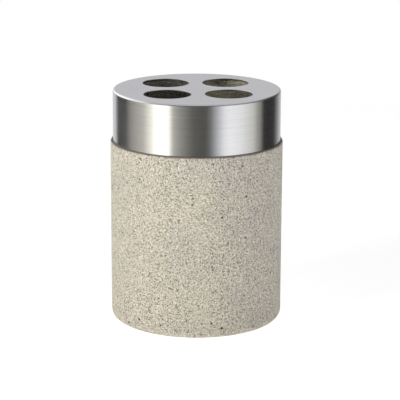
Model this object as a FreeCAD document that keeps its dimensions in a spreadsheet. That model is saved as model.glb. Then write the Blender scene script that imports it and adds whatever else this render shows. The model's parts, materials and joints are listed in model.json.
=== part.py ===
import FreeCAD, Part
import math
import os
import Sketcher

# Toothbrush holder: a cast stone cup whose hollow neck stands up inside a drawn steel cap with four brush
# holes. An L-section gasket carries the cap on the cup's shoulder and fills the room between neck and skirt.
# Four bumper feet sit in recesses of the base. Lengths are in millimetres, Z is up, and the origin is on the
# ground under the middle of the cup.

SIZES = {
    # Whole holder, from the ground to the top of the cap.
    "overall_height": 100.5,
    # Cast cup: outside wall, base, cavity with the draft of its core, and neck.
    "cup_diameter": 73.5,
    "base_edge_radius": 3.5,
    "shoulder_edge_radius": 0.3,
    "floor_thickness": 7.0,
    "floor_corner_radius": 6.0,
    "cavity_draft": 1.3,
    "neck_wall": 4.4,
    "neck_headroom": 0.6,
    "neck_edge_radius": 1.0,
    # Drawn cap: one sheet bent over at the top edge, with its rim smoothed. The bend radius is the inside one.
    "cap_inset": 1.0,
    "cap_height": 21.95,
    "sheet_thickness": 0.6,
    "top_bend_radius": 0.4,
    "rim_edge_radius": 0.15,
    "hole_diameter": 20.0,
    # Gasket: a flange under the skirt's rim and an upright band inside the skirt.
    "flange_thickness": 0.3,
    "flange_inset": 0.25,
    "flange_corner_radius": 0.1,
    "band_thickness": 1.0,
    "band_height": 9.0,
    "band_edge_radius": 0.3,
    "skirt_clearance": 0.1,
    "neck_clearance": 0.1,
    # Bumper feet, and the recesses in the base that hold them.
    "foot_diameter": 9.0,
    "foot_stand": 0.4,
    "foot_edge_radius": 0.35,
    "recess_depth": 1.2,
    "recess_clearance": 0.2,
    "recess_margin": 3.4,
}

# Radii, from the cup's wall inwards.
CUP_RADIUS = "(Sizes.cup_diameter / 2)"
FLANGE_RADIUS = f"({CUP_RADIUS} - Sizes.flange_inset)"
CAP_RADIUS = f"({CUP_RADIUS} - Sizes.cap_inset)"
SKIRT_BORE_RADIUS = f"({CAP_RADIUS} - Sizes.sheet_thickness)"
BAND_OUTER_RADIUS = f"({SKIRT_BORE_RADIUS} - Sizes.skirt_clearance)"
BAND_INNER_RADIUS = f"({BAND_OUTER_RADIUS} - Sizes.band_thickness)"
NECK_RADIUS = f"({BAND_INNER_RADIUS} - Sizes.neck_clearance)"
MOUTH_RADIUS = f"({NECK_RADIUS} - Sizes.neck_wall)"
FLOOR_RADIUS = f"({MOUTH_RADIUS} - Sizes.cavity_draft)"

# Outside radius of the bend in the cap's sheet.
TOP_EDGE_RADIUS = "(Sizes.top_bend_radius + Sizes.sheet_thickness)"

# Four holes on the corners of a square about the axis. The strip of plate between two neighbours is as wide
# as the strip from a hole out to the line of the neck below, which settles their place along X and Y.
HOLE_RADIUS = "(Sizes.hole_diameter / 2)"
HOLE_PLACE = f"(({NECK_RADIUS} + {HOLE_RADIUS}) / (2 + sqrt(2)))"

# Four feet on the corners of a square, a margin inside the rounded base edge.
FOOT_RADIUS = "(Sizes.foot_diameter / 2)"
FOOT_THICKNESS = "(Sizes.recess_depth + Sizes.foot_stand)"
RECESS_RADIUS = f"({FOOT_RADIUS} + Sizes.recess_clearance)"
RECESS_REACH = f"({CUP_RADIUS} - Sizes.base_edge_radius - Sizes.recess_margin)"
FOOT_PLACE = f"(({RECESS_REACH} - {RECESS_RADIUS}) / sqrt(2))"

# Heights, from the ground up.
BASE_HEIGHT = "(Sizes.foot_stand)"
FLOOR_HEIGHT = f"({BASE_HEIGHT} + Sizes.floor_thickness)"
CAP_TOP_HEIGHT = "(Sizes.overall_height)"
RIM_HEIGHT = f"({CAP_TOP_HEIGHT} - Sizes.cap_height)"
SHOULDER_HEIGHT = f"({RIM_HEIGHT} - Sizes.flange_thickness)"
BAND_TOP_HEIGHT = f"({SHOULDER_HEIGHT} + Sizes.band_height)"
PLATE_UNDERSIDE_HEIGHT = f"({CAP_TOP_HEIGHT} - Sizes.sheet_thickness)"
NECK_TOP_HEIGHT = f"({PLATE_UNDERSIDE_HEIGHT} - Sizes.neck_headroom)"

AXIS = "0"
FULL_TURN = 360.0
CORNER_COUNT = 4
# A place counts as found within this share of the holder's height.
SAME_PLACE_SHARE = 1e-6
# A cut counts as whole when its volume is right within this share.
SAME_VOLUME_SHARE = 1e-4

# The signs of X and Y at each foot, seen from above with the front towards -Y.
FOOT_CORNERS = {
    "foot_front_left": ("-", "-"),
    "foot_front_right": ("", "-"),
    "foot_rear_left": ("-", ""),
    "foot_rear_right": ("", ""),
}


def make_sheet(doc):
    """Put every driving size in a cell of its own, with its name as the alias."""
    sheet = doc.addObject("Spreadsheet::Sheet", "Sizes")
    for row, (name, value) in enumerate(SIZES.items(), start=1):
        sheet.set(f"A{row}", name)
        sheet.set(f"B{row}", str(value))
        sheet.setAlias(f"B{row}", name)
    doc.recompute()


def new_sketch(body, name, plane, height=AXIS):
    """Add a sketch on one of the body's own planes, lifted along that plane's normal."""
    sketch = body.newObject("Sketcher::SketchObject", name)
    support = next(item for item in body.Origin.OriginFeatures if item.Role == plane)
    sketch.AttachmentSupport = [(support, "")]
    sketch.MapMode = "FlatFace"
    if height != AXIS:
        sketch.setExpression("AttachmentOffset.Base.z", height)
    return sketch


def bind_point(sketch, line, position, across, up):
    """Hold one point of a sketch at two lengths, or on an axis where a length is zero."""
    for kind, expression, axis in (("DistanceX", across, -2), ("DistanceY", up, -1)):
        if expression == AXIS:
            sketch.addConstraint(Sketcher.Constraint("PointOnObject", line, position, axis))
        else:
            length = float(sketch.evalExpression(expression))
            index = sketch.addConstraint(Sketcher.Constraint(kind, -1, 1, line, position, length))
            sketch.setExpression(f"Constraints[{index}]", expression)


def revolve_outline(body, outline):
    """Turn a closed outline of (radius, height) corners about Z."""
    sketch = new_sketch(body, f"{body.Name}_outline", "XZ_Plane")
    points = [
        FreeCAD.Vector(float(sketch.evalExpression(across)), float(sketch.evalExpression(up)), 0)
        for across, up in outline
    ]
    count = len(points)
    for start in range(count):
        sketch.addGeometry(Part.LineSegment(points[start], points[(start + 1) % count]), False)
    for start in range(count):
        sketch.addConstraint(Sketcher.Constraint("Coincident", start, 2, (start + 1) % count, 1))
    for line, (across, up) in enumerate(outline):
        bind_point(sketch, line, 1, across, up)
    turned = body.newObject("PartDesign::Revolution", f"{body.Name}_turned")
    turned.Profile = sketch
    turned.ReferenceAxis = (sketch, ["V_Axis"])
    turned.Angle = FULL_TURN
    body.Document.recompute()


def round_edges(body, name, radius, *places):
    """Round the circular edges that lie at the given (radius, height) places about the body's axis."""
    base = body.Tip
    reach = body.Document.Sizes.overall_height * SAME_PLACE_SHARE
    edges = []
    for across, up in places:
        target_radius = float(base.evalExpression(across))
        target_height = float(base.evalExpression(up))
        for number, edge in enumerate(base.Shape.Edges, start=1):
            circle = edge.Curve
            if not isinstance(circle, Part.Circle) or math.hypot(circle.Center.x, circle.Center.y) > reach:
                continue
            if abs(circle.Radius - target_radius) < reach and abs(circle.Center.z - target_height) < reach:
                edges.append(f"Edge{number}")
    if len(edges) != len(places):
        raise RuntimeError(f"{body.Label}: {name} found {len(edges)} of {len(places)} edges")
    rounding = body.newObject("PartDesign::Fillet", f"{body.Name}_{name}")
    rounding.Base = (base, edges)
    rounding.setExpression("Radius", radius)
    body.Document.recompute()


def cut_round_holes(body, name, height, radius, place, depth, upwards):
    """Cut a round hole at one corner of a square about Z, and repeat it on the other corners."""
    before = body.Tip.Shape.Volume
    sketch = new_sketch(body, f"{body.Name}_{name}_circle", "XY_Plane", height)
    hole_radius = float(sketch.evalExpression(radius))
    middle = float(sketch.evalExpression(place))
    centre = FreeCAD.Vector(middle, middle, 0)
    sketch.addGeometry(Part.Circle(centre, FreeCAD.Vector(0, 0, 1), hole_radius), False)
    bind_point(sketch, 0, 3, place, place)
    index = sketch.addConstraint(Sketcher.Constraint("Radius", 0, hole_radius))
    sketch.setExpression(f"Constraints[{index}]", radius)
    pocket = body.newObject("PartDesign::Pocket", f"{body.Name}_{name}")
    pocket.Profile = sketch
    pocket.Reversed = upwards
    pocket.setExpression("Length", depth)
    body.Document.recompute()
    pattern = body.newObject("PartDesign::PolarPattern", f"{body.Name}_{name}_pattern")
    pattern.Originals = [pocket]
    pattern.Axis = (sketch, ["N_Axis"])
    pattern.Angle = FULL_TURN
    pattern.Occurrences = CORNER_COUNT
    body.Tip = pattern
    body.Document.recompute()
    hole_volume = math.pi * hole_radius**2 * float(sketch.evalExpression(depth))
    share = (before - body.Tip.Shape.Volume) / (hole_volume * CORNER_COUNT)
    if abs(share - 1) > SAME_VOLUME_SHARE:
        raise RuntimeError(f"{body.Label}: {name} cut {share:.4f} of its volume")


def new_body(doc, label):
    """Add an empty body whose label names its file."""
    body = doc.addObject("PartDesign::Body", label)
    body.Label = label
    return body


def make_stone_cup(doc):
    """Cast cup: drafted cavity, shoulder for the gasket, neck inside the cap, recesses for the feet."""
    cup = new_body(doc, "stone_cup")
    outline = (
        (AXIS, BASE_HEIGHT),
        (CUP_RADIUS, BASE_HEIGHT),
        (CUP_RADIUS, SHOULDER_HEIGHT),
        (NECK_RADIUS, SHOULDER_HEIGHT),
        (NECK_RADIUS, NECK_TOP_HEIGHT),
        (MOUTH_RADIUS, NECK_TOP_HEIGHT),
        (FLOOR_RADIUS, FLOOR_HEIGHT),
        (AXIS, FLOOR_HEIGHT),
    )
    revolve_outline(cup, outline)
    round_edges(cup, "base_edge", "Sizes.base_edge_radius", (CUP_RADIUS, BASE_HEIGHT))
    round_edges(cup, "shoulder_edge", "Sizes.shoulder_edge_radius", (CUP_RADIUS, SHOULDER_HEIGHT))
    round_edges(cup, "floor_corner", "Sizes.floor_corner_radius", (FLOOR_RADIUS, FLOOR_HEIGHT))
    neck_edges = ((NECK_RADIUS, NECK_TOP_HEIGHT), (MOUTH_RADIUS, NECK_TOP_HEIGHT))
    round_edges(cup, "neck_edges", "Sizes.neck_edge_radius", *neck_edges)
    cut_round_holes(cup, "foot_recess", BASE_HEIGHT, RECESS_RADIUS, FOOT_PLACE, "Sizes.recess_depth", True)
    return cup


def make_steel_cap(doc):
    """Drawn cap of one even sheet: pierced plate, rounded top edge and straight skirt with a smoothed rim."""
    cap = new_body(doc, "steel_cap")
    outline = (
        (AXIS, CAP_TOP_HEIGHT),
        (CAP_RADIUS, CAP_TOP_HEIGHT),
        (CAP_RADIUS, RIM_HEIGHT),
        (SKIRT_BORE_RADIUS, RIM_HEIGHT),
        (SKIRT_BORE_RADIUS, PLATE_UNDERSIDE_HEIGHT),
        (AXIS, PLATE_UNDERSIDE_HEIGHT),
    )
    revolve_outline(cap, outline)
    round_edges(cap, "top_bend_outside", TOP_EDGE_RADIUS, (CAP_RADIUS, CAP_TOP_HEIGHT))
    top_inside = (SKIRT_BORE_RADIUS, PLATE_UNDERSIDE_HEIGHT)
    round_edges(cap, "top_bend_inside", "Sizes.top_bend_radius", top_inside)
    rim_edges = ((CAP_RADIUS, RIM_HEIGHT), (SKIRT_BORE_RADIUS, RIM_HEIGHT))
    round_edges(cap, "rim_edges", "Sizes.rim_edge_radius", *rim_edges)
    cut_round_holes(cap, "brush_hole", CAP_TOP_HEIGHT, HOLE_RADIUS, HOLE_PLACE, "Sizes.sheet_thickness", False)
    return cap


def make_cap_gasket(doc):
    """Soft L-section ring: flange between rim and shoulder, band between skirt and neck."""
    gasket = new_body(doc, "cap_gasket")
    outline = (
        (BAND_INNER_RADIUS, SHOULDER_HEIGHT),
        (FLANGE_RADIUS, SHOULDER_HEIGHT),
        (FLANGE_RADIUS, RIM_HEIGHT),
        (BAND_OUTER_RADIUS, RIM_HEIGHT),
        (BAND_OUTER_RADIUS, BAND_TOP_HEIGHT),
        (BAND_INNER_RADIUS, BAND_TOP_HEIGHT),
    )
    revolve_outline(gasket, outline)
    band_edges = ((BAND_OUTER_RADIUS, BAND_TOP_HEIGHT), (BAND_INNER_RADIUS, BAND_TOP_HEIGHT))
    round_edges(gasket, "band_edges", "Sizes.band_edge_radius", *band_edges)
    inner_corner = (BAND_OUTER_RADIUS, RIM_HEIGHT)
    round_edges(gasket, "inner_corner", "Sizes.flange_corner_radius", inner_corner)
    return gasket


def make_foot(doc, label, signs):
    """Round bumper foot with a softened edge, seated in its recess."""
    foot = new_body(doc, label)
    sketch = new_sketch(foot, f"{label}_circle", "XY_Plane")
    radius = float(sketch.evalExpression(FOOT_RADIUS))
    sketch.addGeometry(Part.Circle(FreeCAD.Vector(), FreeCAD.Vector(0, 0, 1), radius), False)
    sketch.addConstraint(Sketcher.Constraint("Coincident", 0, 3, -1, 1))
    index = sketch.addConstraint(Sketcher.Constraint("Radius", 0, radius))
    sketch.setExpression(f"Constraints[{index}]", FOOT_RADIUS)
    pad = foot.newObject("PartDesign::Pad", f"{label}_pad")
    pad.Profile = sketch
    pad.setExpression("Length", FOOT_THICKNESS)
    doc.recompute()
    round_edges(foot, "edge", "Sizes.foot_edge_radius", (FOOT_RADIUS, AXIS))
    for direction, sign in zip("xy", signs):
        foot.setExpression(f"Placement.Base.{direction}", f"{sign}{FOOT_PLACE}")
    return foot


def check_document(doc, bodies):
    """Stop if any object failed to compute or any body is empty or broken."""
    for item in doc.Objects:
        if {"Invalid", "Error"} & set(item.State):
            raise RuntimeError(f"{item.Label} failed: {item.State}")
    for body in bodies:
        if body.Shape.isNull() or not body.Shape.isValid():
            raise RuntimeError(f"{body.Label} has no valid shape")


def main():
    """Build the holder and write each sub-part to its own file."""
    doc = FreeCAD.newDocument("ToothbrushHolder")
    make_sheet(doc)
    bodies = [make_stone_cup(doc), make_steel_cap(doc), make_cap_gasket(doc)]
    for label, signs in FOOT_CORNERS.items():
        bodies.append(make_foot(doc, label, signs))
    doc.recompute()
    check_document(doc, bodies)
    os.makedirs("parts", exist_ok=True)
    for body in bodies:
        body.Shape.exportStep(f"parts/{body.Label}.step")
        box = body.Shape.BoundBox
        print(f"{body.Label}: {body.Shape.Volume:.1f} mm3, z {box.ZMin:.2f} to {box.ZMax:.2f}")


main()
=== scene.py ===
"""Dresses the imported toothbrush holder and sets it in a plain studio.

The holder is a cup cast in a sandstone mix, a drawn cap of brushed steel with four brush holes, a soft
gasket between the two and four bumper feet under the cup.
"""
import json
import logging
import math
from dataclasses import dataclass, field
from enum import Enum
from typing import Any, Callable, ClassVar, Sequence

import bmesh
import bpy
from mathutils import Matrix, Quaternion, Vector


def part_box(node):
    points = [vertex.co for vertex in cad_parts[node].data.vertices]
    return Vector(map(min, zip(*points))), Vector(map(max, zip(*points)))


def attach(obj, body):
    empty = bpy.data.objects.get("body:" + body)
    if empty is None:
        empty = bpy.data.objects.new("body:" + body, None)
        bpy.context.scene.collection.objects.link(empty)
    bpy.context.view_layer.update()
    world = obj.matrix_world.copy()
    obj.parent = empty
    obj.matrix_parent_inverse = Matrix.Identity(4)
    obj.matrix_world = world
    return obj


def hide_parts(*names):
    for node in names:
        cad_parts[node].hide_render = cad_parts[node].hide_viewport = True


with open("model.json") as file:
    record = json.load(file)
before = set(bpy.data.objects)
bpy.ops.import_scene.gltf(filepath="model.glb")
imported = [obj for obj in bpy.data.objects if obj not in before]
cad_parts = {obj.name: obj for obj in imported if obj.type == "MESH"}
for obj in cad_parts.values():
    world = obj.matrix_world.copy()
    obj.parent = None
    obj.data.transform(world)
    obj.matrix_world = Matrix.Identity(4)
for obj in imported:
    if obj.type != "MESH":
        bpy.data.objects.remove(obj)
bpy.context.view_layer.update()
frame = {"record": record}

LOG = logging.getLogger("toothbrush_holder")

MM = 0.001
# Points of a mesh that are this close together are merged.
WELD = 1e-6
# A point belongs to a ring or a face when it lies this close to it.
PICK = 2e-5
# Edges that turn less than this many degrees look smooth.
SMOOTH_ANGLE = 40.0
# Profile of a bevel that makes it a quarter of a circle.
ROUND_PROFILE = 0.5
WHITE = (1.0, 1.0, 1.0, 1.0)

Colour = tuple[float, float, float, float]
Stop = tuple[float, Colour]
Socket = bpy.types.NodeSocket


class Body(Enum):
    """Bodies of the frame that the pieces ride on."""

    CUP = "cup"
    GASKET = "gasket"
    CAP = "cap"


class Slot(Enum):
    """Material slots of the record."""

    STONE = "sandstone"
    STEEL = "brushed_steel"
    RUBBER = "dark_rubber"


class Quarter(Enum):
    """The four quarters of the holder seen from above."""

    FRONT_LEFT = "front_left"
    FRONT_RIGHT = "front_right"
    REAR_LEFT = "rear_left"
    REAR_RIGHT = "rear_right"

    @property
    def node(self) -> str:
        """Name of the CAD node of the foot in this quarter."""
        return "foot_" + self.value

    @property
    def piece(self) -> str:
        """Name of the dressed foot in this quarter."""
        return "Foot" + self.value.title().replace("_", "")


def srgb(red: int, green: int, blue: int) -> Colour:
    """Turns a colour as seen on a screen into the linear colour that the shaders take.

    Args:
        red: Red, from 0 to 255.
        green: Green, from 0 to 255.
        blue: Blue, from 0 to 255.

    Returns:
        The linear colour, with an alpha of 1.
    """
    def linear(level: int) -> float:
        """Turns one screen level into linear light."""
        share = level / 255
        return share / 12.92 if share <= 0.04045 else ((share + 0.055) / 1.055) ** 2.4

    return linear(red), linear(green), linear(blue), 1.0


def direction(azimuth: float, elevation: float) -> Vector:
    """Gives the way from the holder to something that stands round it.

    Args:
        azimuth: Degrees from the front, to the right.
        elevation: Degrees above the floor's plane.

    Returns:
        The way, with a length of 1.
    """
    turn = math.radians(azimuth)
    rise = math.radians(elevation)
    return Vector((math.sin(turn) * math.cos(rise), -math.cos(turn) * math.cos(rise), math.sin(rise)))


class Graph:
    """Adds nodes to one node tree and joins them."""

    def __init__(self, tree: bpy.types.NodeTree) -> None:
        """Takes the tree that the nodes go into."""
        self.tree = tree

    def add(self, kind: str, inputs: dict[Any, Any] | None = None, **settings: Any) -> bpy.types.Node:
        """Adds a node.

        Args:
            kind: Blender's name of the node type.
            inputs: Sockets to join or values to set, by the name or number of the node's input.
            **settings: Properties of the node itself.

        Returns:
            The new node.
        """
        node = self.tree.nodes.new(kind)
        for name, value in settings.items():
            setattr(node, name, value)
        self.feed(node, inputs or {})
        return node

    def feed(self, node: bpy.types.Node, inputs: dict[Any, Any]) -> None:
        """Joins or sets the inputs of a node.

        Args:
            node: The node.
            inputs: Sockets to join or values to set, by the name or number of the node's input.
        """
        for key, value in inputs.items():
            if isinstance(value, bpy.types.NodeSocket):
                self.tree.links.new(value, node.inputs[key])
            else:
                node.inputs[key].default_value = value

    def effect(self, group: bpy.types.NodeTree, **inputs: Any) -> bpy.types.Node:
        """Places a shared effect with its own values.

        Args:
            group: The node group of the effect.
            **inputs: Sockets or values for the inputs of the group.

        Returns:
            The group node.
        """
        return self.add("ShaderNodeGroup", inputs, node_tree=group)

    def math(self, operation: str, *values: Any) -> Socket:
        """Adds a Math node on sockets or numbers and gives its result."""
        return self.add("ShaderNodeMath", dict(enumerate(values)), operation=operation).outputs[0]

    def mix(self, factor: Any, first: Any, second: Any, blend: str = "MIX") -> Socket:
        """Mixes two colours.

        Args:
            factor: Share of the second colour.
            first: Colour at a factor of 0.
            second: Colour at a factor of 1.
            blend: Blender's name of the way of mixing.

        Returns:
            The mixed colour.
        """
        inputs = {0: factor, 6: first, 7: second}
        return self.add("ShaderNodeMix", inputs, data_type="RGBA", blend_type=blend).outputs[2]

    def ease(self, value: Socket, start: float, end: float, low: float = 0.0, high: float = 1.0) -> Socket:
        """Moves a value from low to high, smoothly and within those two, as it goes from start to end."""
        inputs = {"Value": value, "From Min": start, "From Max": end, "To Min": low, "To Max": high}
        return self.add("ShaderNodeMapRange", inputs, interpolation_type="SMOOTHSTEP").outputs[0]

    def ramp(self, value: Socket, stops: Sequence[Stop]) -> Socket:
        """Colours a value.

        Args:
            value: Value from 0 to 1.
            stops: Colours by their place on that range.

        Returns:
            The colour at the value.
        """
        node = self.add("ShaderNodeValToRGB", {"Fac": value})
        elements = node.color_ramp.elements
        while len(elements) < len(stops):
            elements.new(1.0)
        for element, (place, colour) in zip(elements, stops):
            element.position = place
            element.color = colour
        return node.outputs["Color"]

    def bump(self, heights: Socket, depth: float, strength: float) -> Socket:
        """Gives the normals of a relief, with the metres to a height of 1 and the share of it that shows."""
        inputs = {"Height": heights, "Distance": depth, "Strength": strength}
        return self.add("ShaderNodeBump", inputs).outputs[0]


def open_group(name: str, inputs: dict[str, str], outputs: dict[str, str]) -> tuple[Graph, dict, dict]:
    """Starts a shader node group.

    Args:
        name: Name of the group.
        inputs: Socket types of the inputs, by their names.
        outputs: Socket types of the outputs, by their names.

    Returns:
        The graph of the group, the sockets that its inputs give, and the sockets that its outputs take.
    """
    tree = bpy.data.node_groups.new(name, "ShaderNodeTree")
    for side, sockets in (("INPUT", inputs), ("OUTPUT", outputs)):
        for socket, kind in sockets.items():
            tree.interface.new_socket(name=socket, in_out=side, socket_type=kind)
    graph = Graph(tree)
    return graph, graph.add("NodeGroupInput").outputs, graph.add("NodeGroupOutput").inputs


@dataclass(frozen=True)
class Effects:
    """Node groups of the effects that several finishes share.

    Attributes:
        grains: Packed grains, each with a tone of its own and a domed top.
        specks: Sparse round specks.
        mottle: Slow, cloudy change over the surface.
        speck_spread: Smallest and largest speck, as shares of the size that is asked for.
        speck_core: Share of a speck's radius within which it is full.
        mottle_detail: Layers of finer clouds in the mottle.
        mottle_roughness: Strength of each layer against the one before.
        mottle_levels: Levels of the clouds that become 0 and 1.
    """

    grains: bpy.types.NodeTree
    specks: bpy.types.NodeTree
    mottle: bpy.types.NodeTree
    speck_spread: ClassVar[tuple[float, float]] = (0.6, 1.3)
    speck_core: ClassVar[float] = 0.6
    mottle_detail: ClassVar[float] = 3.0
    mottle_roughness: ClassVar[float] = 0.55
    mottle_levels: ClassVar[tuple[float, float]] = (0.3, 0.7)

    @classmethod
    def build(cls) -> "Effects":
        """Builds each group once."""
        return cls(cls.grain_group(), cls.speck_group(), cls.mottle_group())

    @staticmethod
    def grain_group() -> bpy.types.NodeTree:
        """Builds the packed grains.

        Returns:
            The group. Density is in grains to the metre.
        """
        graph, given, taken = open_group(
            "Packed grains",
            {"Vector": "NodeSocketVector", "Density": "NodeSocketFloat"},
            {"Tone": "NodeSocketFloat", "Dome": "NodeSocketFloat"})
        cells = graph.add("ShaderNodeTexVoronoi", {"Vector": given["Vector"], "Scale": given["Density"]})
        tone = graph.add("ShaderNodeSeparateColor", {"Color": cells.outputs["Color"]}).outputs["Red"]
        dome = graph.math("SUBTRACT", 1.0, cells.outputs["Distance"])
        graph.tree.links.new(tone, taken["Tone"])
        graph.tree.links.new(dome, taken["Dome"])
        return graph.tree

    @classmethod
    def speck_group(cls) -> bpy.types.NodeTree:
        """Builds the specks.

        Returns:
            The group. Size is a speck's radius in cells, and Share is the share of cells with one.
        """
        graph, given, taken = open_group(
            "Sparse specks",
            {"Vector": "NodeSocketVector", "Density": "NodeSocketFloat", "Size": "NodeSocketFloat",
             "Share": "NodeSocketFloat"},
            {"Mask": "NodeSocketFloat"})
        cells = graph.add("ShaderNodeTexVoronoi", {"Vector": given["Vector"], "Scale": given["Density"]})
        drawn = graph.add("ShaderNodeSeparateColor", {"Color": cells.outputs["Color"]}).outputs
        spread = graph.ease(drawn["Green"], 0.0, 1.0, *cls.speck_spread)
        size = graph.math("MULTIPLY", given["Size"], spread)
        near = graph.math("DIVIDE", cells.outputs["Distance"], size)
        spot = graph.ease(near, 1.0, cls.speck_core)
        chosen = graph.math("LESS_THAN", drawn["Red"], given["Share"])
        graph.tree.links.new(graph.math("MULTIPLY", spot, chosen), taken["Mask"])
        return graph.tree

    @classmethod
    def mottle_group(cls) -> bpy.types.NodeTree:
        """Builds the mottle.

        Returns:
            The group. Density is in clouds to the metre, and Value goes from 0 to 1.
        """
        graph, given, taken = open_group(
            "Mottle",
            {"Vector": "NodeSocketVector", "Density": "NodeSocketFloat"},
            {"Value": "NodeSocketFloat"})
        clouds = graph.add("ShaderNodeTexNoise", {
            "Vector": given["Vector"],
            "Scale": given["Density"],
            "Detail": cls.mottle_detail,
            "Roughness": cls.mottle_roughness,
        }).outputs[0]
        graph.tree.links.new(graph.ease(clouds, *cls.mottle_levels), taken["Value"])
        return graph.tree


def new_material(name: str) -> tuple[bpy.types.Material, Graph, bpy.types.Node, Socket]:
    """Starts a material on the Principled shader.

    Args:
        name: Name of the material.

    Returns:
        The material, its graph, its shader node and the piece's own coordinates.
    """
    material = bpy.data.materials.new(name)
    material.use_nodes = True
    graph = Graph(material.node_tree)
    shader = material.node_tree.nodes["Principled BSDF"]
    coordinates = graph.add("ShaderNodeTexCoord").outputs["Object"]
    return material, graph, shader, coordinates


@dataclass(frozen=True)
class Specks:
    """One kind of specks in a finish.

    Attributes:
        density: Cells to the metre that may hold a speck.
        size: Radius of a speck, in cells.
        share: Share of the cells that hold one.
        colour: Colour of the specks.
    """

    density: float
    size: float
    share: float
    colour: Colour

    def mask(self, graph: Graph, effects: Effects, place: Socket) -> Socket:
        """Strews the specks over a piece.

        Args:
            graph: The graph of the finish.
            effects: The shared effects.
            place: The piece's own coordinates.

        Returns:
            A value that is 1 on the specks and 0 elsewhere.
        """
        values = {"Density": self.density, "Size": self.size, "Share": self.share}
        return graph.effect(effects.specks, Vector=place, **values).outputs["Mask"]


@dataclass(frozen=True)
class Sandstone:
    """Cast sandstone mix: fine pale grains, painted shade in small hollows, sparse brown and black specks.

    Attributes:
        grains: Grains to the metre.
        tones: Colours of the grains, from the darkest to the palest.
        shaded_pits: Painted shade in the small hollows between the grains, which the relief also sinks.
        brown: The brown specks.
        black: The black specks.
        clouds: Clouds to the metre, in the slow change of colour over the wall.
        cloud_tints: Tints at the two ends of that change.
        roughness: Roughness of the darkest and of the palest grains.
        shine: Strength of the mirrored light.
        dome: Height of a grain against the depth of a pit.
        relief: Metres to a height of 1.
        relief_share: Share of the relief that shows.
    """

    grains: float = 6000.0
    tones: tuple[Stop, ...] = (
        (0.0, srgb(12, 9, 5)),
        (0.14, srgb(92, 83, 66)),
        (0.30, srgb(189, 181, 163)),
        (0.60, srgb(223, 215, 198)),
        (1.0, srgb(255, 252, 244)),
    )
    # Near-black colour of the hollows between the grains is painted shade; the relief also sinks them.
    shaded_pits: Specks = Specks(1300.0, 0.32, 0.85, srgb(14, 11, 7))
    brown: Specks = Specks(330.0, 0.11, 0.35, srgb(102, 92, 76))
    black: Specks = Specks(230.0, 0.115, 0.5, srgb(10, 8, 6))
    clouds: float = 70.0
    cloud_tints: tuple[Colour, Colour] = (srgb(247, 247, 249), srgb(255, 255, 252))
    roughness: tuple[float, float] = (0.72, 0.95)
    shine: float = 0.25
    dome: float = 1.5
    relief: float = 0.06 * MM
    relief_share: float = 0.5

    def material(self, effects: Effects) -> bpy.types.Material:
        """Builds the material.

        Args:
            effects: The shared effects.

        Returns:
            The finished material.
        """
        material, graph, shader, place = new_material("Cast sandstone")
        grains = graph.effect(effects.grains, Vector=place, Density=self.grains).outputs
        # Painted shade: the hollows between the grains are coloured near black, and sunk in the relief
        # below.
        shaded_pits = self.shaded_pits.mask(graph, effects, place)
        colour = graph.mix(shaded_pits, graph.ramp(grains["Tone"], self.tones), self.shaded_pits.colour)

        clouds = graph.effect(effects.mottle, Vector=place, Density=self.clouds).outputs["Value"]
        colour = graph.mix(1.0, colour, graph.mix(clouds, *self.cloud_tints), "MULTIPLY")
        for specks in (self.brown, self.black):
            colour = graph.mix(specks.mask(graph, effects, place), colour, specks.colour)
        heights = graph.math("SUBTRACT", graph.math("MULTIPLY", grains["Dome"], self.dome), shaded_pits)
        graph.feed(shader, {
            "Base Color": colour,
            "Roughness": graph.ease(grains["Tone"], 0.0, 1.0, *self.roughness),
            "Specular IOR Level": self.shine,
            "Normal": graph.bump(heights, self.relief, self.relief_share),
        })
        return material


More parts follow.
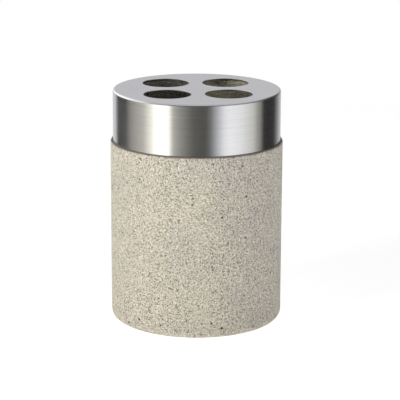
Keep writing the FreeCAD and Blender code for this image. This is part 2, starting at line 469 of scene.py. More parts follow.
@dataclass(frozen=True)
class BrushedSteel:
    """Stainless sheet, brushed round the skirt and straight across the plate.

    Attributes:
        strokes: Brush strokes to the metre, counted across them.
        stretch: Brush strokes to the metre, counted along them.
        stroke_detail: Layers of finer strokes.
        shades: Colours of the strokes, from the darkest to the palest.
        plate_slope: Upward parts of the normal between which the skirt's brushing gives way to the plate's.
        plate_brushing: Direction of the brushing on the plate.
        clouds: Clouds to the metre, in the slow change of roughness.
        cloud_share: Share of the clouds in the roughness, with the strokes for the rest.
        worn_levels: Levels of strokes and clouds together that give the least and the most roughness.
        roughness: The least and the most roughness.
        stretching: How far the brushing draws out the mirrored light.
        stretching_turn: Turn of that light against the strokes, in whole turns.
        relief: Depth of the strokes in metres.
        relief_share: Share of the relief that shows.
    """

    strokes: float = 4200.0
    stretch: float = 14.0
    stroke_detail: float = 2.0
    shades: tuple[Stop, ...] = ((0.3, srgb(196, 196, 198)), (0.7, srgb(206, 206, 208)))
    plate_slope: tuple[float, float] = (0.6, 0.8)
    plate_brushing: Colour = (1.0, 0.0, 0.0, 1.0)
    clouds: float = 45.0
    cloud_share: float = 0.2
    worn_levels: tuple[float, float] = (0.25, 0.75)
    roughness: tuple[float, float] = (0.21, 0.26)
    stretching: float = 0.85
    stretching_turn: float = 0.25
    relief: float = 0.0008 * MM
    relief_share: float = 0.5

    def material(self, effects: Effects) -> bpy.types.Material:
        """Builds the material.

        Args:
            effects: The shared effects.

        Returns:
            The finished material.
        """
        material, graph, shader, place = new_material("Brushed steel")
        facing = graph.add("ShaderNodeNewGeometry").outputs["Normal"]
        upward = graph.add("ShaderNodeSeparateXYZ", {"Vector": facing}).outputs["Z"]
        flat = graph.ease(graph.math("ABSOLUTE", upward), *self.plate_slope)
        strokes = self.stroke_pattern(graph, place, flat)
        around = graph.add("ShaderNodeTangent", direction_type="RADIAL", axis="Z").outputs[0]
        clouds = graph.effect(effects.mottle, Vector=place, Density=self.clouds).outputs["Value"]
        fine = graph.math("MULTIPLY", strokes, 1.0 - self.cloud_share)
        worn = graph.math("ADD", fine, graph.math("MULTIPLY", clouds, self.cloud_share))
        graph.feed(shader, {
            "Base Color": graph.ramp(strokes, self.shades),
            "Metallic": 1.0,
            "Roughness": graph.ease(worn, *self.worn_levels, *self.roughness),
            "Anisotropic": self.stretching,
            "Anisotropic Rotation": self.stretching_turn,
            "Tangent": graph.mix(flat, around, self.plate_brushing),
            "Normal": graph.bump(strokes, self.relief, self.relief_share),
        })
        return material

    def stroke_pattern(self, graph: Graph, place: Socket, flat: Socket) -> Socket:
        """Lays the brush strokes.

        Args:
            graph: The graph of the finish.
            place: The piece's own coordinates.
            flat: 1 on the plate and 0 on the skirt.

        Returns:
            The strokes, from 0 to 1.
        """
        parts = graph.add("ShaderNodeSeparateXYZ", {"Vector": place}).outputs
        along_x = graph.math("MULTIPLY", parts["X"], self.stretch)
        on_skirt = graph.add("ShaderNodeCombineXYZ", {
            "X": along_x,
            "Y": graph.math("MULTIPLY", parts["Y"], self.stretch),
            "Z": graph.math("MULTIPLY", parts["Z"], self.strokes),
        }).outputs[0]
        on_plate = graph.add("ShaderNodeCombineXYZ", {
            "X": along_x,
            "Y": graph.math("MULTIPLY", parts["Y"], self.strokes),
        }).outputs[0]
        return graph.add("ShaderNodeTexNoise", {
            "Vector": graph.mix(flat, on_skirt, on_plate),
            "Scale": 1.0,
            "Detail": self.stroke_detail,
        }).outputs[0]


@dataclass(frozen=True)
class SoftRubber:
    """Soft grey silicone with a matt, faintly dusty skin.

    Attributes:
        clean: Colour of the clean skin.
        dust: The grains of dust on it.
        dust_share: How far a grain of dust covers the skin.
        clouds: Clouds to the metre, in the thin film of dust.
        cloud_share: How far that film covers the skin.
        roughness: Roughness of the clean and of the dusty skin.
        skin: Grains of the skin to the metre.
        relief: Height of those grains in metres.
        relief_share: Share of the relief that shows.
    """

    clean: Colour = srgb(130, 124, 113)
    dust: Specks = Specks(900.0, 0.14, 0.2, srgb(156, 149, 137))
    dust_share: float = 0.5
    clouds: float = 260.0
    cloud_share: float = 0.6
    roughness: tuple[float, float] = (0.5, 0.68)
    skin: float = 5200.0
    relief: float = 0.01 * MM
    relief_share: float = 0.4

    def material(self, effects: Effects) -> bpy.types.Material:
        """Builds the material.

        Args:
            effects: The shared effects.

        Returns:
            The finished material.
        """
        material, graph, shader, place = new_material("Soft grey silicone")
        clouds = graph.effect(effects.mottle, Vector=place, Density=self.clouds).outputs["Value"]
        film = graph.math("MULTIPLY", clouds, self.cloud_share)
        dust = graph.math("MULTIPLY", self.dust.mask(graph, effects, place), self.dust_share)
        filmed = graph.mix(film, self.clean, self.dust.colour)
        skin = graph.effect(effects.grains, Vector=place, Density=self.skin).outputs["Dome"]
        graph.feed(shader, {
            "Base Color": graph.mix(dust, filmed, self.dust.colour),
            "Roughness": graph.ease(clouds, 0.0, 1.0, *self.roughness),
            "Normal": graph.bump(skin, self.relief, self.relief_share),
        })
        return material


def select_only(shape: bpy.types.Object) -> None:
    """Makes a shape the only one that Blender's tools work on.

    Args:
        shape: The shape.
    """
    bpy.ops.object.select_all(action="DESELECT")
    bpy.context.view_layer.objects.active = shape
    shape.select_set(True)


def remove(shape: bpy.types.Object) -> None:
    """Removes a helper shape and its mesh.

    Args:
        shape: The shape.
    """
    mesh = shape.data
    bpy.data.objects.remove(shape)
    bpy.data.meshes.remove(mesh)


def apply_modifier(shape: bpy.types.Object, kind: str, **settings: Any) -> None:
    """Adds a modifier to a shape and applies it.

    Args:
        shape: The shape.
        kind: Blender's name of the modifier type.
        **settings: Properties of the modifier.
    """
    select_only(shape)
    modifier = shape.modifiers.new(kind.title(), kind)
    for name, value in settings.items():
        setattr(modifier, name, value)
    bpy.ops.object.modifier_apply(modifier=modifier.name)


def pick_edges(shape: bpy.types.Object, test: Callable[[Vector], bool]) -> None:
    """Selects, in edit mode, the edges that have both ends where a test says.

    Args:
        shape: The shape that is being edited.
        test: Says of a point whether it belongs to the picked edges.
    """
    bpy.ops.mesh.select_mode(type="EDGE")
    bpy.ops.mesh.select_all(action="DESELECT")
    mesh = bmesh.from_edit_mesh(shape.data)
    inside = {vertex for vertex in mesh.verts if test(vertex.co)}
    for edge in mesh.edges:
        if inside.issuperset(edge.verts):
            edge.select_set(True)
    mesh.select_flush_mode()
    bmesh.update_edit_mesh(shape.data)


def round_picked(fillet: float, steps: int) -> None:
    """Rounds the picked edges.

    Args:
        fillet: Radius of the rounding.
        steps: Number of faces across the rounding.
    """
    bpy.ops.mesh.bevel(
        offset_type="OFFSET", offset=fillet, segments=steps, profile=ROUND_PROFILE, affect="EDGES")


def bore(shape: bpy.types.Object, centre: tuple[float, float], radius: float, low: float, high: float,
         sides: int) -> None:
    """Bores a round hole along Z.

    Args:
        shape: The shape to bore.
        centre: X and Y of the hole's axis.
        radius: Radius of the hole.
        low: Height where the drill ends.
        high: Height where the drill starts.
        sides: Number of sides of the hole.
    """
    bpy.ops.object.select_all(action="DESELECT")
    bpy.ops.mesh.primitive_cylinder_add(
        vertices=sides, radius=radius, depth=high - low, location=(*centre, (high + low) / 2))
    drill = bpy.context.object
    apply_modifier(shape, "BOOLEAN", operation="DIFFERENCE", solver="EXACT", object=drill)
    remove(drill)


@dataclass
class Turning:
    """A body turned about the Z axis, drawn out ring by ring from one circle of edges in edit mode.

    Attributes:
        name: Name of the piece.
        sides: Number of sides of each ring.
        radius: Radius of the ring that was drawn last.
        height: Height of that ring.
        shape: The object that is being made.
    """

    name: str
    sides: int
    radius: float
    height: float
    shape: bpy.types.Object = field(init=False)

    def __post_init__(self) -> None:
        """Adds the first ring and stays in edit mode."""
        bpy.ops.object.select_all(action="DESELECT")
        bpy.ops.mesh.primitive_circle_add(vertices=self.sides, radius=self.radius)
        self.shape = bpy.context.object
        self.shape.name = self.name
        self.shape.data.name = self.name
        bpy.ops.object.mode_set(mode="EDIT")
        bpy.ops.mesh.select_mode(type="EDGE")
        bpy.ops.mesh.select_all(action="SELECT")
        bpy.ops.transform.translate(value=(0.0, 0.0, self.height))

    def draw_to(self, radius: float, height: float) -> None:
        """Draws the last ring out to a new radius and height.

        Args:
            radius: Radius of the new ring.
            height: Height of the new ring.
        """
        bpy.ops.mesh.extrude_edges_move(TRANSFORM_OT_translate={"value": (0.0, 0.0, height - self.height)})
        share = radius / self.radius
        bpy.ops.transform.resize(value=(share, share, 1.0), center_override=(0.0, 0.0, height))
        self.radius = radius
        self.height = height

    def pick_ring(self, radius: float, height: float) -> None:
        """Selects the edges of the ring with this radius and height."""
        pick_edges(self.shape, lambda point: (
            abs(point.z - height) < PICK and abs(math.hypot(point.x, point.y) - radius) < PICK))

    def fill_ring(self, radius: float, height: float) -> None:
        """Closes a ring with one flat face."""
        self.pick_ring(radius, height)
        bpy.ops.mesh.edge_face_add()

    def round_ring(self, radius: float, height: float, fillet: float, steps: int) -> None:
        """Rounds the corner along a ring.

        Args:
            radius: Radius of the ring.
            height: Height of the ring.
            fillet: Radius of the rounding.
            steps: Number of faces across the rounding.
        """
        self.pick_ring(radius, height)
        round_picked(fillet, steps)

    def weld(self) -> None:
        """Merges the points that fall together."""
        bpy.ops.mesh.select_all(action="SELECT")
        bpy.ops.mesh.remove_doubles(threshold=WELD)

    def finish(self) -> bpy.types.Object:
        """Welds the seam, turns the faces outwards and leaves edit mode.

        Returns:
            The turned object.
        """
        self.weld()
        bpy.ops.mesh.normals_make_consistent(inside=False)
        bpy.ops.object.mode_set(mode="OBJECT")
        return self.shape


def smooth(shape: bpy.types.Object, angle: float = SMOOTH_ANGLE) -> None:
    """Smooths a shape across edges that turn less than an angle, with normals that follow its large faces.

    Args:
        shape: The shape.
        angle: The angle in degrees.
    """
    select_only(shape)
    bpy.ops.object.shade_smooth_by_angle(angle=math.radians(angle))
    apply_modifier(shape, "WEIGHTED_NORMAL", keep_sharp=True)


def dress(piece: bpy.types.Object, node: str, body: Body, finish: bpy.types.Material) -> None:
    """Gives a piece its finish and its body, and hides the CAD node that it stands for.

    Args:
        piece: The piece.
        node: Name of the CAD node.
        body: The body that the piece rides on.
        finish: The material.
    """
    piece.data.materials.clear()
    piece.data.materials.append(finish)
    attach(piece, body.value)
    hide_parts(node)
    LOG.info("%s: %d faces, rides on %s", piece.name, len(piece.data.polygons), body.value)


@dataclass
class StoneCup:
    """The cast cup: straight wall, rounded base, a shoulder under the gasket and a neck inside the cap.

    Attributes:
        outer_radius: Radius of the wall.
        base: Height of the underside.
        neck_top: Height of the neck's rim.
        shoulder: Height of the shoulder.
        foot_places: Centres of the foot recesses.
        foot_radius: Radius of a foot.
        neck_radius: Radius of the neck's outside.
        mouth_radius: Radius of the cavity at the neck's rim.
        cavity_radius: Radius of the cavity at its floor.
        cavity_floor: Height of the cavity's floor.
        base_fillet: Rounding of the base edge.
        shoulder_fillet: Rounding of the shoulder's edge.
        cavity_fillet: Rounding of the floor's corner.
        rim_fillet: Rounding of the neck's rim.
        fillet_steps: Faces across the base's and the floor's rounding.
        shoulder_steps: Faces across the shoulder's rounding.
        rim_steps: Faces across the rim's rounding.
        recess_depth: Depth of a foot's recess.
        recess_clearance: Room round a foot.
        recess_sides: Number of sides of a recess.
        overrun: How far a cut starts outside the stone.
        sides: Number of sides of the cup.
        wall_rows: Rows that the wall is cut into.
        unevenness: Height of the wall's unevenness.
        unevenness_scale: Width of its bumps.
    """

    outer_radius: float
    base: float
    neck_top: float
    shoulder: float
    foot_places: list[tuple[float, float]]
    foot_radius: float
    neck_radius: float = 33.95 * MM
    mouth_radius: float = 29.55 * MM
    cavity_radius: float = 28.25 * MM
    cavity_floor: float = 7.4 * MM
    base_fillet: float = 3.5 * MM
    shoulder_fillet: float = 0.3 * MM
    cavity_fillet: float = 6.0 * MM
    rim_fillet: float = 1.0 * MM
    fillet_steps: int = 10
    shoulder_steps: int = 4
    rim_steps: int = 5
    recess_depth: float = 1.2 * MM
    recess_clearance: float = 0.2 * MM
    recess_sides: int = 48
    overrun: float = 1.0 * MM
    sides: int = 420
    wall_rows: int = 150
    unevenness: float = 0.08 * MM
    unevenness_scale: float = 1.6 * MM

    def build(self, finish: bpy.types.Material) -> None:
        """Models and dresses the cup.

        Args:
            finish: The stone.
        """
        cup = self.turn()
        recess_radius = self.foot_radius + self.recess_clearance
        recess_top = self.base + self.recess_depth
        for place in self.foot_places:
            bore(cup, place, recess_radius, self.base - self.overrun, recess_top, self.recess_sides)
        self.roughen(cup)
        smooth(cup)
        dress(cup, "stone_cup", Body.CUP, finish)

    def turn(self) -> bpy.types.Object:
        """Turns the body of the cup, from the base edge up the wall and down into the cavity.

        Returns:
            The plain body.
        """
        turning = Turning("StoneCup", self.sides, self.outer_radius, self.base)
        turning.draw_to(self.outer_radius, self.shoulder)
        turning.draw_to(self.neck_radius, self.shoulder)
        turning.draw_to(self.neck_radius, self.neck_top)
        turning.draw_to(self.mouth_radius, self.neck_top)
        turning.draw_to(self.cavity_radius, self.cavity_floor)
        turning.fill_ring(self.cavity_radius, self.cavity_floor)
        turning.fill_ring(self.outer_radius, self.base)
        turning.round_ring(self.cavity_radius, self.cavity_floor, self.cavity_fillet, self.fillet_steps)
        for rim_radius in (self.mouth_radius, self.neck_radius):
            turning.round_ring(rim_radius, self.neck_top, self.rim_fillet, self.rim_steps)
        turning.round_ring(self.outer_radius, self.shoulder, self.shoulder_fillet, self.shoulder_steps)
        turning.round_ring(self.outer_radius, self.base, self.base_fillet, self.fillet_steps)
        return turning.finish()

    def roughen(self, cup: bpy.types.Object) -> None:
        """Cuts the wall into fine rows and gives it the slight unevenness of a casting.

        Args:
            cup: The plain body.
        """
        low = self.base + self.base_fillet
        high = self.shoulder - self.shoulder_fillet
        bpy.ops.object.mode_set(mode="EDIT")
        pick_edges(cup, lambda point: (
            low - PICK < point.z < high + PICK
            and abs(math.hypot(point.x, point.y) - self.outer_radius) < PICK))
        mesh = bmesh.from_edit_mesh(cup.data)
        for edge in mesh.edges:
            if abs(edge.verts[0].co.z - edge.verts[1].co.z) < PICK:
                edge.select_set(False)
        bmesh.update_edit_mesh(cup.data)
        bpy.ops.mesh.subdivide(number_cuts=self.wall_rows)
        bpy.ops.object.mode_set(mode="OBJECT")

        wall = cup.vertex_groups.new(name="wall")
        wall.add([vertex.index for vertex in cup.data.vertices
                  if low < vertex.co.z < high
                  and math.hypot(vertex.co.x, vertex.co.y) > self.neck_radius], 1.0, "REPLACE")
        clouds = bpy.data.textures.new("Casting unevenness", "CLOUDS")
        clouds.noise_scale = self.unevenness_scale
        apply_modifier(cup, "DISPLACE", texture=clouds, texture_coords="LOCAL", strength=self.unevenness,
                       vertex_group=wall.name)
        bpy.data.textures.remove(clouds)
        cup.vertex_groups.clear()


@dataclass
class SteelCap:
    """The drawn cap: a pierced plate, a bent edge and a straight skirt with a smoothed rim.

    Attributes:
        radius: Radius of the skirt.
        rim: Height of the skirt's rim.
        top: Height of the plate.
        holes: Centres of the brush holes.
        hole_radius: Radius of a brush hole.
        sheet: Thickness of the sheet.
        top_bend: Inner radius of the bent edge.
        rim_fillet: Rounding of the rim.
        hole_edge: Rounding of the holes' edges.
        bend_steps: Faces across the outside of the bend.
        inner_bend_steps: Faces across its inside.
        rim_steps: Faces across the rim's rounding.
        hole_edge_steps: Faces across the rounding of the holes' edges.
        overrun: How far a cut starts and ends outside the sheet.
        sides: Number of sides of the cap.
        hole_sides: Number of sides of a hole.
        smooth_angle: Edges that turn less than this many degrees look smooth.
    """

    radius: float
    rim: float
    top: float
    holes: list[tuple[float, float]]
    hole_radius: float = 10.0 * MM
    sheet: float = 0.6 * MM
    top_bend: float = 0.4 * MM
    rim_fillet: float = 0.06 * MM
    hole_edge: float = 0.12 * MM
    bend_steps: int = 10
    inner_bend_steps: int = 8
    rim_steps: int = 4
    hole_edge_steps: int = 3
    overrun: float = 1.0 * MM
    sides: int = 256
    hole_sides: int = 96
    smooth_angle: float = 35.0

    def build(self, finish: bpy.types.Material) -> None:
        """Models and dresses the cap.

        Args:
            finish: The steel.
        """
        cap = self.draw()
        self.pierce(cap)
        smooth(cap, self.smooth_angle)
        dress(cap, "steel_cap", Body.CAP, finish)

    def draw(self) -> bpy.types.Object:
        """Draws the sheet: down the outside, round the rim and up the inside to the underside of the plate.

        Returns:
            The cap without its holes.
        """
        bore_radius = self.radius - self.sheet
        underside = self.top - self.sheet
        turning = Turning("SteelCap", self.sides, self.radius, self.top)
        turning.draw_to(self.radius, self.rim)
        turning.draw_to(bore_radius, self.rim)
        turning.draw_to(bore_radius, underside)
        turning.fill_ring(bore_radius, underside)
        turning.fill_ring(self.radius, self.top)
        turning.round_ring(self.radius, self.top, self.top_bend + self.sheet, self.bend_steps)
        turning.round_ring(bore_radius, underside, self.top_bend, self.inner_bend_steps)
        for rim_radius in (self.radius, bore_radius):
            turning.round_ring(rim_radius, self.rim, self.rim_fillet, self.rim_steps)
        return turning.finish()

    def pierce(self, cap: bpy.types.Object) -> None:
        """Pierces the brush holes and breaks their edges.

        Args:
            cap: The cap without its holes.
        """
        underside = self.top - self.sheet
        low = underside - self.overrun
        high = self.top + self.overrun
        for centre in self.holes:
            bore(cap, centre, self.hole_radius, low, high, self.hole_sides)
        bpy.ops.object.mode_set(mode="EDIT")
        for height in (self.top, underside):
            pick_edges(cap, lambda point: abs(point.z - height) < PICK and self.is_on_hole(point))
            round_picked(self.hole_edge, self.hole_edge_steps)
        bpy.ops.object.mode_set(mode="OBJECT")

    def is_on_hole(self, point: Vector) -> bool:
        """Says whether a point lies on the wall of a brush hole."""
        return any(abs(math.dist(point.xy, centre) - self.hole_radius) < PICK for centre in self.holes)


@dataclass
class CapGasket:
    """The soft ring between cap and cup: a flange on the shoulder and an upright band round the neck.

    Attributes:
        flange_radius: Radius of the flange.
        shoulder: Height of the shoulder that it lies on.
        flange_top: Height of the flange's upper face.
        band_top: Height of the band's rim.
        band_inner: Inner radius of the band.
        band_outer: Outer radius of the band.
        band_fillet: Rounding of the band's rim.
        flange_fillet: Rounding of the flange's edges.
        band_steps: Faces across the band's rounding.
        flange_steps: Faces across the flange's rounding.
        sides: Number of sides of the ring.
    """

    flange_radius: float
    shoulder: float
    flange_top: float
    band_top: float
    band_inner: float = 34.05 * MM
    band_outer: float = 35.05 * MM
    band_fillet: float = 0.3 * MM
    flange_fillet: float = 0.06 * MM
    band_steps: int = 4
    flange_steps: int = 3
    sides: int = 192

    def build(self, finish: bpy.types.Material) -> None:
        """Models and dresses the gasket.

        Args:
            finish: The soft rubber.
        """
        turning = Turning("CapGasket", self.sides, self.band_inner, self.shoulder)
        turning.draw_to(self.flange_radius, self.shoulder)
        turning.draw_to(self.flange_radius, self.flange_top)
        turning.draw_to(self.band_outer, self.flange_top)
        turning.draw_to(self.band_outer, self.band_top)
        turning.draw_to(self.band_inner, self.band_top)
        turning.draw_to(self.band_inner, self.shoulder)
        turning.weld()
        for band_radius in (self.band_inner, self.band_outer):
            turning.round_ring(band_radius, self.band_top, self.band_fillet, self.band_steps)
        for flange_height in (self.flange_top, self.shoulder):
            turning.round_ring(self.flange_radius, flange_height, self.flange_fillet, self.flange_steps)
        gasket = turning.finish()
        smooth(gasket)
        dress(gasket, "cap_gasket", Body.GASKET, finish)


@dataclass
class BumperFeet:
    """The four soft feet, set in recesses of the cup's base.

    Attributes:
        radius: Radius of a foot.
        height: Height of a foot.
        places: Centre of each foot, by its quarter.
        fillet: Rounding of the edge that meets the ground.
        fillet_steps: Faces across that rounding.
        dish_radius: Radius of the dish in the underside.
        dish_depth: Depth of the dish.
        sides: Number of sides of a foot.
    """

    radius: float
    height: float
    places: dict[Quarter, tuple[float, float]]
    fillet: float = 0.35 * MM
    fillet_steps: int = 6
    dish_radius: float = 2.6 * MM
    dish_depth: float = 0.15 * MM
    sides: int = 64

    def build(self, finish: bpy.types.Material) -> None:
        """Models one foot, copies it to the four places and dresses the copies.

        Args:
            finish: The soft rubber.
        """
        pattern = self.turn()
        for quarter, place in self.places.items():
            foot = pattern.copy()
            foot.data = pattern.data.copy()
            bpy.context.collection.objects.link(foot)
            foot.name = quarter.piece
            foot.data.name = foot.name
            foot.location = (*place, 0.0)
            select_only(foot)
            bpy.ops.object.transform_apply(location=True, rotation=False, scale=False)
            dress(foot, quarter.node, Body.CUP, finish)
        remove(pattern)

    def turn(self) -> bpy.types.Object:
        """Turns one foot about the Z axis, with a shallow dish in its underside.

        Returns:
            The foot.
        """
        turning = Turning("FootPattern", self.sides, self.radius, self.height)
        turning.draw_to(self.radius, 0.0)
        turning.draw_to(self.dish_radius, 0.0)
        turning.draw_to(self.dish_radius - self.dish_depth, self.dish_depth)
        turning.fill_ring(self.dish_radius - self.dish_depth, self.dish_depth)
        turning.fill_ring(self.radius, self.height)
        turning.round_ring(self.radius, 0.0, self.fillet, self.fillet_steps)
        foot = turning.finish()
        smooth(foot)
        return foot


@dataclass
class Holder:
    """The whole holder, with the places that its pieces share, read from the frame.

    Attributes:
        cup: The cast cup.
        cap: The drawn cap.
        gasket: The gasket between them.
        feet: The bumper feet.
    """

    cup: StoneCup
    cap: SteelCap
    gasket: CapGasket
    feet: BumperFeet

    @classmethod
    def from_frame(cls) -> "Holder":
        """Reads the pieces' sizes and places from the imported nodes.

        Returns:
            The holder, not built yet.
        """
        cup_low, cup_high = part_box("stone_cup")
        cap_low, cap_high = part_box("steel_cap")
        gasket_low, gasket_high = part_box("cap_gasket")
        foot_places = {}
        for quarter in Quarter:
            foot_low, foot_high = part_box(quarter.node)
            foot_places[quarter] = tuple(((foot_low + foot_high) / 2).xy)
        foot_radius = (foot_high.x - foot_low.x) / 2
        holes = [tuple(mount["pos_m"][:2]) for mount in frame["record"]["mounts"] if mount["kind"] == "bore"]
        cup = StoneCup(
            outer_radius=cup_high.x,
            base=cup_low.z,
            neck_top=cup_high.z,
            shoulder=gasket_low.z,
            foot_places=list(foot_places.values()),
            foot_radius=foot_radius)
        cap = SteelCap(radius=cap_high.x, rim=cap_low.z, top=cap_high.z, holes=holes)
        gasket = CapGasket(
            flange_radius=gasket_high.x,
            shoulder=gasket_low.z,
            flange_top=cap_low.z,
            band_top=gasket_high.z)
        feet = BumperFeet(radius=foot_radius, height=foot_high.z - foot_low.z, places=foot_places)
        return cls(cup, cap, gasket, feet)

    def build(self, effects: Effects) -> None:
        """Builds all pieces.

        Args:
            effects: The shared effects of the finishes.
        """
        rubber = SoftRubber().material(effects)
        self.cup.build(Sandstone().material(effects))
        self.gasket.build(rubber)
        self.cap.build(BrushedSteel().material(effects))
        self.feet.build(rubber)


@dataclass(frozen=True)
class Card:
    """A place on the ring of cards round the studio.

    Attributes:
        azimuth: Degrees from the front, to the right.
        level: Brightness, where 1 is the brightest card.
        tint: Colour of the light.
    """

    azimuth: float
    level: float
    tint: tuple[float, float, float] = (1.0, 1.0, 1.0)

    def stop(self) -> Stop:
        """Gives the card's place on the ring from 0 to 1, and its colour."""
        return self.azimuth / 360 + 0.5, (*(self.level * share for share in self.tint), 1.0)


WARM = (1.0, 0.955, 0.83)
CREAM = (1.0, 0.98, 0.87)
IVORY = (1.0, 0.995, 0.93)
COOL = (0.98, 0.985, 1.0)
LILAC = (0.985, 0.985, 1.02)


@dataclass
class Studio:
    """Pale floor, white surround, a soft key light from the left and the cards that the steel mirrors.

    Heights and places in the surround are measured along Z and Y on a sphere of radius 1 round the holder.

    Attributes:
        ambient: Level of the even light from the sides.
        ambient_tint: Colour of that light.
        ambient_fade: Heights between which it falls off.
        overhead: Share of it that is left above.
        key_power: Power of the key light in watts.
        key_tint: Colour of the key light.
        key_azimuth: Degrees from the front to the key light, to the right.
        key_elevation: Degrees above the floor's plane.
        key_distance: Distance of the key light.
        key_size: Width of the key light.
        card_strength: Brightness of the brightest card.
        horizon: Heights between which the low cards give way to the high ones.
        ceiling_edge: Heights between which the high cards give way to the ceiling.
        ceiling_turn: Places, from the front backwards, between which the ceiling changes its level.
        ceiling_front: Level of the ceiling towards the camera.
        ceiling_back: Level of the ceiling behind the holder.
        floor_radius: Radius of the floor.
        floor_sides: Number of sides of the floor.
        floor_colour: Colour of the floor.
        floor_glow: Level of the floor's own light.
        floor_shade: Distances from the middle between which that light comes up to its level.
        floor_foot: Share of that light close to the cup's foot.
        low_cards: The cards below the horizon, from the back round by the left, the front and the right.
        high_cards: The cards above the horizon, in the same order.
    """

    ambient: float = 1.67
    ambient_tint: Colour = (0.985, 0.985, 1.045, 1.0)
    ambient_fade: tuple[float, float] = (0.03, 0.32)
    overhead: float = 0.036
    key_power: float = 3.55
    key_tint: tuple[float, float, float] = (1.0, 0.97, 0.81)
    key_azimuth: float = -53.0
    key_elevation: float = 17.0
    key_distance: float = 1.0
    key_size: float = 0.35
    card_strength: float = 2.2
    horizon: tuple[float, float] = (-0.02, 0.2)
    ceiling_edge: tuple[float, float] = (0.5, 0.7)
    ceiling_turn: tuple[float, float] = (-0.8, -0.6)
    ceiling_front: float = 0.035
    ceiling_back: float = 0.37
    floor_radius: float = 0.5
    floor_sides: int = 96
    floor_colour: Colour = (0.9, 0.9, 0.9, 1.0)
    floor_glow: float = 0.86
    floor_shade: tuple[float, float] = (0.037, 0.056)
    floor_foot: float = 0.64
    low_cards: tuple[Card, ...] = (
        Card(-180, 0.36, LILAC),
        Card(-150, 0.36),
        Card(-140, 0.025, WARM),
        Card(-115, 0.025, WARM),
        Card(-106, 0.15, WARM),
        Card(-80, 0.33, WARM),
        Card(-69, 0.65, CREAM),
        Card(-60, 1.0, CREAM),
        Card(-41, 1.0, CREAM),
        Card(-36, 0.305, CREAM),
        Card(-24, 0.195, CREAM),
        Card(-8, 0.078, CREAM),
        Card(10, 0.053, CREAM),
        Card(17, 0.117),
        Card(27, 0.374, COOL),
        Card(35, 0.608, COOL),
        Card(43, 0.69),
        Card(60, 0.61),
        Card(72, 0.505, IVORY),
        Card(82, 0.425, IVORY),
        Card(88, 0.25, CREAM),
        Card(95, 0.19, WARM),
        Card(100, 0.018),
        Card(129, 0.022),
        Card(142, 0.16),
        Card(155, 0.3),
        Card(180, 0.36, LILAC),
    )
    high_cards: tuple[Card, ...] = (
        Card(-180, 0.36, LILAC),
        Card(-168, 0.45),
        Card(-160, 0.82),
        Card(-110, 0.82),
        Card(-100, 0.72),
        Card(-86, 0.8),
        Card(-74, 0.34),
        Card(-60, 0.08),
        Card(18, 0.04),
        Card(88, 0.06),
        Card(104, 0.05),
        Card(148, 0.05),
        Card(160, 0.36),
        Card(180, 0.36, LILAC),
    )

    def build(self) -> None:
        """Builds the surround, the key light and the floor."""
        self.surround()
        self.key_light()
        self.floor()

    def surround(self) -> None:
        """Makes the world.

        The camera sees white, the steel mirrors the cards, and all else gets an even light from the sides.
        """
        world = bpy.data.worlds.new("Studio")
        bpy.context.scene.world = world
        world.use_nodes = True
        world.cycles.sampling_method = "NONE"
        graph = Graph(world.node_tree)
        world.node_tree.nodes.clear()
        way = graph.add("ShaderNodeTexCoord").outputs["Generated"]
        parts = graph.add("ShaderNodeSeparateXYZ", {"Vector": way}).outputs
        azimuth = graph.math("ARCTAN2", parts["X"], graph.math("MULTIPLY", parts["Y"], -1.0))
        ring = graph.math("ADD", graph.math("DIVIDE", azimuth, math.tau), 0.5)
        low = graph.ramp(ring, [card.stop() for card in self.low_cards])
        high = graph.ramp(ring, [card.stop() for card in self.high_cards])
        ceiling = graph.ease(parts["Y"], *self.ceiling_turn, self.ceiling_front, self.ceiling_back)
        cards = graph.mix(graph.ease(parts["Z"], *self.horizon), low, high)
        cards = graph.mix(graph.ease(parts["Z"], *self.ceiling_edge), cards, ceiling)
        level = graph.ease(parts["Z"], *self.ambient_fade, self.ambient, self.ambient * self.overhead)

        path = graph.add("ShaderNodeLightPath").outputs
        even = graph.add("ShaderNodeBackground", {"Color": self.ambient_tint, "Strength": level})
        mirrored = graph.add("ShaderNodeBackground", {"Color": cards, "Strength": self.card_strength})
        white = graph.add("ShaderNodeBackground", {"Color": WHITE})
        lit = graph.add("ShaderNodeMixShader", {
            0: path["Is Glossy Ray"], 1: even.outputs[0], 2: mirrored.outputs[0]})
        seen = graph.math("MAXIMUM", path["Is Camera Ray"], path["Is Transmission Ray"])
        shown = graph.add("ShaderNodeMixShader", {0: seen, 1: lit.outputs[0], 2: white.outputs[0]})
        graph.add("ShaderNodeOutputWorld", {"Surface": shown.outputs[0]})

    def key_light(self) -> None:
        """Adds the key light, which the steel mirrors as a card instead."""
        bpy.ops.object.light_add(type="AREA")
        lamp = bpy.context.object
        lamp.name = "KeyLight"
        lamp.data.shape = "DISK"
        lamp.data.size = self.key_size
        lamp.data.energy = self.key_power
        lamp.data.color = self.key_tint
        back = direction(self.key_azimuth, self.key_elevation)
        lamp.location = back * self.key_distance
        lamp.rotation_euler = back.to_track_quat("Z", "Y").to_euler()
        lamp.visible_glossy = False

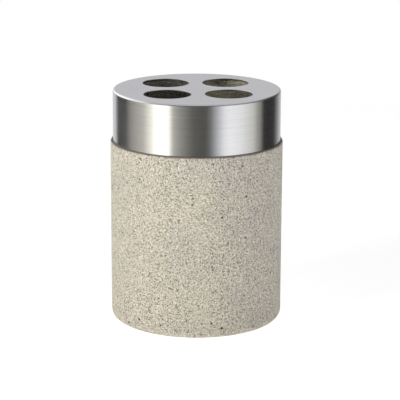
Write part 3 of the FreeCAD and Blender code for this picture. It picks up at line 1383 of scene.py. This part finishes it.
    def floor(self) -> None:
        """Lays the pale floor, which glows a little and throws less light from close to the cup's foot."""
        bpy.ops.object.select_all(action="DESELECT")
        bpy.ops.mesh.primitive_circle_add(
            vertices=self.floor_sides, radius=self.floor_radius, fill_type="NGON")
        floor = bpy.context.object
        floor.name = "Floor"
        floor.visible_glossy = False
        material, graph, shader, place = new_material("Pale floor")
        reach = graph.add("ShaderNodeVectorMath", {0: place}, operation="LENGTH").outputs["Value"]
        thrown = graph.ease(reach, *self.floor_shade, self.floor_foot, 1.0)
        seen = graph.add("ShaderNodeLightPath").outputs["Is Camera Ray"]
        graph.feed(shader, {
            "Base Color": self.floor_colour,
            "Roughness": 1.0,
            "Specular IOR Level": 0.0,
            "Emission Color": graph.math("MAXIMUM", thrown, seen),
            "Emission Strength": self.floor_glow,
        })
        floor.data.materials.append(material)


@dataclass
class PhotoCamera:
    """The camera at the photograph's viewing angle.

    Attributes:
        azimuth: Degrees from the front, to the right.
        elevation: Degrees above the floor's plane.
        distance: Distance from the middle of the holder.
        lens: Focal length in millimetres.
        sensor: Width of the picture behind the lens in millimetres.
        middle: Height of the point that the distance is taken from.
        aim_right: How far to the right of that point the camera looks.
        aim_up: How far above it the camera looks.
        roll: Degrees that the camera leans to the left.
    """

    azimuth: float = -2.4
    elevation: float = 14.396
    distance: float = 0.795
    lens: float = 165.9
    sensor: float = 36.0
    middle: float = 49.17 * MM
    aim_right: float = 1.526 * MM
    aim_up: float = 2.33 * MM
    roll: float = 0.25

    def build(self) -> None:
        """Adds the camera and makes it the scene's own."""
        back = direction(self.azimuth, self.elevation)
        right = Vector((0.0, 0.0, 1.0)).cross(back).normalized()
        up = back.cross(right)
        middle = Vector((0.0, 0.0, self.middle))
        bpy.ops.object.camera_add(location=middle + back * self.distance)
        camera = bpy.context.object
        camera.name = "PhotoCamera"
        camera.data.sensor_width = self.sensor
        camera.data.lens = self.lens
        aim = middle + right * self.aim_right + up * self.aim_up
        level = (camera.location - aim).to_track_quat("Z", "Y")
        lean = Quaternion((0.0, 0.0, 1.0), math.radians(self.roll))
        camera.rotation_euler = (level @ lean).to_euler()
        bpy.context.scene.camera = camera


def main() -> None:
    """Builds the holder, the studio and the camera."""
    logging.basicConfig(level=logging.INFO, format="%(name)s: %(message)s")
    Holder.from_frame().build(Effects.build())
    Studio().build()
    PhotoCamera().build()
    bpy.context.scene.view_settings.view_transform = "Standard"


if __name__ == "__main__":
    main()
